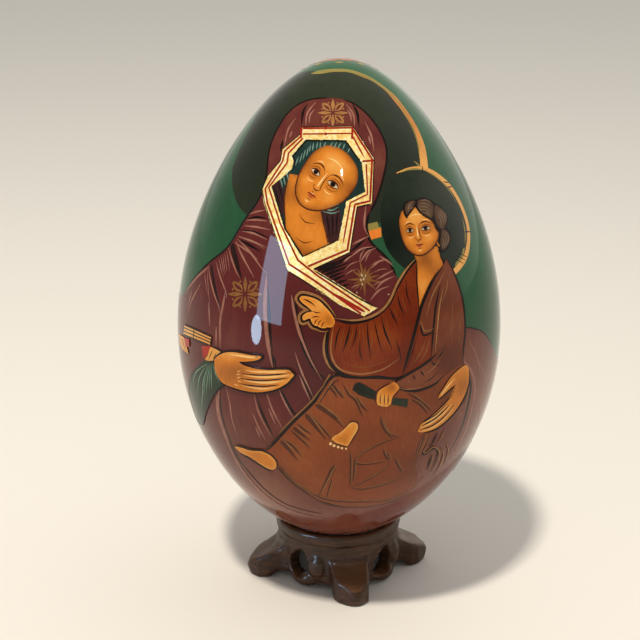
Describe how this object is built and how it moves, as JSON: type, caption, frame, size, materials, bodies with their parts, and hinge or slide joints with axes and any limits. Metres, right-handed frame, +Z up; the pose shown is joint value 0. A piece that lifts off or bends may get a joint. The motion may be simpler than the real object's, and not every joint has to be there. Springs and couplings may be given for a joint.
{
  "type": "lacquered icon egg on a carved stand",
  "caption": "Large lacquered wooden egg painted with a mother and child, standing point up in a dark carved wooden ring on splayed feet.",
  "frame": {"origin": "middle of the footprint, at the height of the table that the four feet stand on", "axes": "+Z up along the egg's axis, towards its point; the painted front faces -Y; +X is to the right seen from the front"},
  "size_m": [0.12, 0.12, 0.198],
  "materials": {
    "stand_wood": "satin",
    "egg_wood": "matte",
    "chalk_ground": "matte",
    "egg_paint": "gloss",
    "gold_leaf": "gloss",
    "lacquer": "gloss"
  },
  "bodies": {
    "stand": {"stand": "stand_wood"},
    "egg": {"egg_lower_cup": "egg_wood", "egg_upper_cup": "egg_wood", "ground_coat": "chalk_ground", "paint_film": "egg_paint", "gold_leaf": "gold_leaf", "lacquer_coat": "lacquer"}
  },
  "joints": [
    {"name": "egg_lift", "type": "slide", "parent": "stand", "child": "egg", "axis": [0, 0, 1], "range_m": [0, 0.06]}
  ]
}
